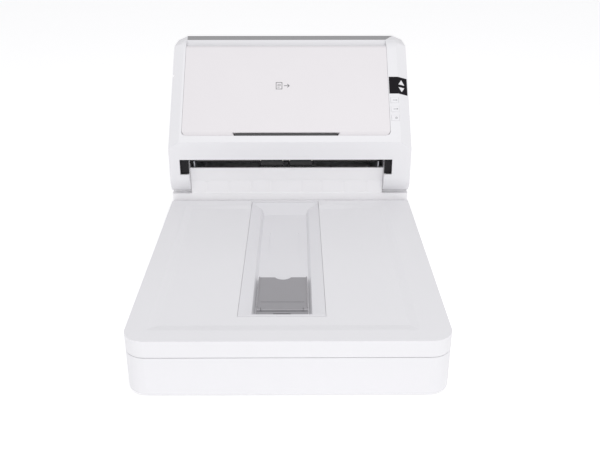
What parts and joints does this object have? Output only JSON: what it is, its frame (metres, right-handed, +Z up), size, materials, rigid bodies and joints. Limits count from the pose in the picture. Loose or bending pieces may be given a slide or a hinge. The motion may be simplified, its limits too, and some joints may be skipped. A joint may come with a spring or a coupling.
{
  "type": "sheet fed document scanner",
  "caption": "Desktop document scanner: a flatbed base with a lifting lid and flip-up paper stop, and a sheet feeder with a tilting door, fold-out input tray and side keys.",
  "frame": {"origin": "middle of the footprint, on the table", "axes": "+Z up, +Y from the front of the flatbed to the back, +X to the right seen from the front"},
  "size_m": [0.318, 0.511, 0.256],
  "materials": {
    "white_plastic": "fine textured white moulding",
    "tray_plastic": "fine textured warm white moulding",
    "channel_plastic": "smooth light grey moulding",
    "grey_plastic": "satin mid grey moulding",
    "dark_plastic": "matt black moulding",
    "gloss_black": "glossy black",
    "pulley_plastic": "natural acetal",
    "rubber": "matt rubber",
    "belt_rubber": "matt belt rubber",
    "glass": "clear glass",
    "steel": "ground steel",
    "motor_steel": "plated sheet steel",
    "zinc_sheet": "zinc plated sheet",
    "brass": "turned brass",
    "board": "green solder mask",
    "pad_foam": "white backing foam"
  },
  "bodies": {
    "base": {"base_tub": "white_plastic", "rubber_feet": "rubber", "platen_frame": "white_plastic", "platen_glass": "glass", "guide_rod": "steel", "carriage_belt": "belt_rubber", "flatbed_motor": "motor_steel", "main_board": "board", "usb_socket": "steel", "dc_inlet": "dark_plastic", "rear_plinth": "white_plastic", "rear_housing": "white_plastic", "side_frames": "zinc_sheet", "paper_guide": "channel_plastic", "exit_chute": "white_plastic", "rear_sensor_bar": "dark_plastic", "rear_sensor_glass": "glass", "adf_motor": "motor_steel", "upper_drive_belt": "belt_rubber", "exit_drive_belt": "belt_rubber", "lid_hinge_pins": "steel", "door_hinge_pins": "steel", "housing_screws": "steel"},
    "carriage": {"carriage_frame": "dark_plastic", "flatbed_sensor_bar": "dark_plastic"},
    "drive_pulley": {"drive_pulley": "pulley_plastic"},
    "idler_pulley": {"idler_pulley": "pulley_plastic"},
    "motor_pinion": {"motor_pinion": "brass"},
    "lid": {"lid_shell": "white_plastic", "lid_liner": "channel_plastic", "document_pad": "pad_foam", "channel_insert": "channel_plastic", "stop_bracket": "grey_plastic"},
    "paper_stop": {"paper_stop": "grey_plastic"},
    "front_door": {"door_shell": "white_plastic", "door_guide": "channel_plastic", "exit_liner": "dark_plastic", "front_sensor_bar": "dark_plastic", "front_sensor_glass": "glass", "display_window": "gloss_black", "button_board": "board", "grip_trim": "dark_plastic"},
    "up_button": {"up_button": "white_plastic"},
    "down_button": {"down_button": "white_plastic"},
    "cancel_button": {"cancel_button": "white_plastic"},
    "scan_button": {"scan_button": "white_plastic"},
    "power_button": {"power_button": "white_plastic"},
    "door_latch": {"door_latch": "channel_plastic"},
    "separation_roller": {"separation_roller": "rubber"},
    "transport_pinch_rollers": {"transport_pinch_rollers": "pulley_plastic"},
    "exit_pinch_rollers": {"exit_pinch_rollers": "pulley_plastic"},
    "input_tray": {"tray_panel": "tray_plastic", "tray_liner": "channel_plastic"},
    "left_guide": {"left_guide": "grey_plastic"},
    "right_guide": {"right_guide": "grey_plastic"},
    "guide_pinion": {"guide_pinion": "pulley_plastic"},
    "feed_roller": {"feed_roller": "rubber"},
    "transport_roller": {"transport_roller": "rubber"},
    "exit_roller": {"exit_roller": "rubber"},
    "adf_motor_pulley": {"adf_motor_pulley": "brass"}
  },
  "joints": [
    {"name": "lid_hinge", "type": "hinge", "parent": "base", "child": "lid", "pos_m": [0, 0.086, 0.056], "axis": [1, 0, 0], "range_deg": [-70, 0]},
    {"name": "paper_stop_flip", "type": "hinge", "parent": "lid", "child": "paper_stop", "pos_m": [-0.0068, -0.1855, 0.056], "axis": [1, 0, 0], "range_deg": [0, 100]},
    {"name": "front_door_tilt", "type": "hinge", "parent": "base", "child": "front_door", "pos_m": [0, 0.1065, 0.098], "axis": [1, 0, 0], "range_deg": [0, 50]},
    {"name": "input_tray_fold", "type": "hinge", "parent": "front_door", "child": "input_tray", "pos_m": [0, 0.18807, 0.24325], "axis": [-1, 0, 0], "range_deg": [0, 162]},
    {"name": "left_guide_slide", "type": "slide", "parent": "input_tray", "child": "left_guide", "axis": [1, 0, 0], "range_m": [0, 0.095]},
    {"name": "right_guide_slide", "type": "slide", "parent": "input_tray", "child": "right_guide", "axis": [1, 0, 0], "range_m": [-0.095, 0]},
    {"name": "guide_pinion_spin", "type": "hinge", "parent": "input_tray", "child": "guide_pinion", "pos_m": [-0.005, 0.15816, 0.21942], "axis": [0, -0.7071, 0.7071], "range_deg": [-800, 0]},
    {"name": "carriage_slide", "type": "slide", "parent": "base", "child": "carriage", "axis": [0, 1, 0], "range_m": [0, 0.285]},
    {"name": "drive_pulley_spin", "type": "hinge", "parent": "base", "child": "drive_pulley", "pos_m": [-0.138, 0.1165, 0.03], "axis": [0, 0, 1], "continuous": true},
    {"name": "idler_pulley_spin", "type": "hinge", "parent": "base", "child": "idler_pulley", "pos_m": [-0.138, -0.2375, 0.03], "axis": [0, 0, 1], "continuous": true},
    {"name": "motor_pinion_spin", "type": "hinge", "parent": "base", "child": "motor_pinion", "pos_m": [-0.1188, 0.1165, 0.03], "axis": [0, 0, 1], "continuous": true},
    {"name": "feed_roller_spin", "type": "hinge", "parent": "base", "child": "feed_roller", "pos_m": [0, 0.1672, 0.1843], "axis": [1, 0, 0], "continuous": true},
    {"name": "transport_roller_spin", "type": "hinge", "parent": "base", "child": "transport_roller", "pos_m": [0, 0.1509, 0.1614], "axis": [1, 0, 0], "continuous": true},
    {"name": "exit_roller_spin", "type": "hinge", "parent": "base", "child": "exit_roller", "pos_m": [0, 0.1024, 0.1165], "axis": [1, 0, 0], "continuous": true},
    {"name": "adf_motor_pulley_spin", "type": "hinge", "parent": "base", "child": "adf_motor_pulley", "pos_m": [0.12, 0.1845, 0.13], "axis": [1, 0, 0], "continuous": true},
    {"name": "separation_roller_spin", "type": "hinge", "parent": "front_door", "child": "separation_roller", "pos_m": [0, 0.1523, 0.1934], "axis": [1, 0, 0], "continuous": true},
    {"name": "transport_pinch_spin", "type": "hinge", "parent": "front_door", "child": "transport_pinch_rollers", "pos_m": [0, 0.1398, 0.1682], "axis": [1, 0, 0], "continuous": true},
    {"name": "exit_pinch_spin", "type": "hinge", "parent": "front_door", "child": "exit_pinch_rollers", "pos_m": [0, 0.0961, 0.1279], "axis": [1, 0, 0], "continuous": true},
    {"name": "door_latch_turn", "type": "hinge", "parent": "front_door", "child": "door_latch", "pos_m": [-0.1505, 0.1745, 0.226], "axis": [1, 0, 0], "range_deg": [0, 8], "stiffness_Nm_per_rad": 0.05, "springref_deg": -11.46},
    {"name": "cancel_button_press", "type": "slide", "parent": "front_door", "child": "cancel_button", "axis": [0, 0.7071, -0.7071], "range_m": [0, 0.0008], "stiffness_N_per_m": 400, "springref_m": -0.0005},
    {"name": "scan_button_press", "type": "slide", "parent": "front_door", "child": "scan_button", "axis": [0, 0.7071, -0.7071], "range_m": [0, 0.0008], "stiffness_N_per_m": 400, "springref_m": -0.0005},
    {"name": "power_button_press", "type": "slide", "parent": "front_door", "child": "power_button", "axis": [0, 0.7071, -0.7071], "range_m": [0, 0.0008], "stiffness_N_per_m": 400, "springref_m": -0.0005},
    {"name": "up_button_press", "type": "slide", "parent": "front_door", "child": "up_button", "axis": [-0.4292, 0.6387, -0.6387], "range_m": [0, 0.0008], "stiffness_N_per_m": 400, "springref_m": -0.0005},
    {"name": "down_button_press", "type": "slide", "parent": "front_door", "child": "down_button", "axis": [-0.4292, 0.6387, -0.6387], "range_m": [0, 0.0008], "stiffness_N_per_m": 400, "springref_m": -0.0005}
  ],
  "couplings": [
    {"joint": "right_guide_slide", "follows": "left_guide_slide", "ratio": -1},
    {"joint": "guide_pinion_spin", "follows": "left_guide_slide", "rad_per_m": -142.86},
    {"joint": "drive_pulley_spin", "follows": "carriage_slide", "rad_per_m": 169.49},
    {"joint": "idler_pulley_spin", "follows": "carriage_slide", "rad_per_m": 169.49},
    {"joint": "motor_pinion_spin", "follows": "carriage_slide", "rad_per_m": -508.47},
    {"joint": "transport_roller_spin", "follows": "feed_roller_spin", "ratio": 1},
    {"joint": "exit_roller_spin", "follows": "feed_roller_spin", "ratio": 1},
    {"joint": "adf_motor_pulley_spin", "follows": "feed_roller_spin", "ratio": 1.25},
    {"joint": "separation_roller_spin", "follows": "feed_roller_spin", "ratio": -1.3699},
    {"joint": "transport_pinch_spin", "follows": "feed_roller_spin", "ratio": -1.6495},
    {"joint": "exit_pinch_spin", "follows": "feed_roller_spin", "ratio": -1.6495}
  ]
}
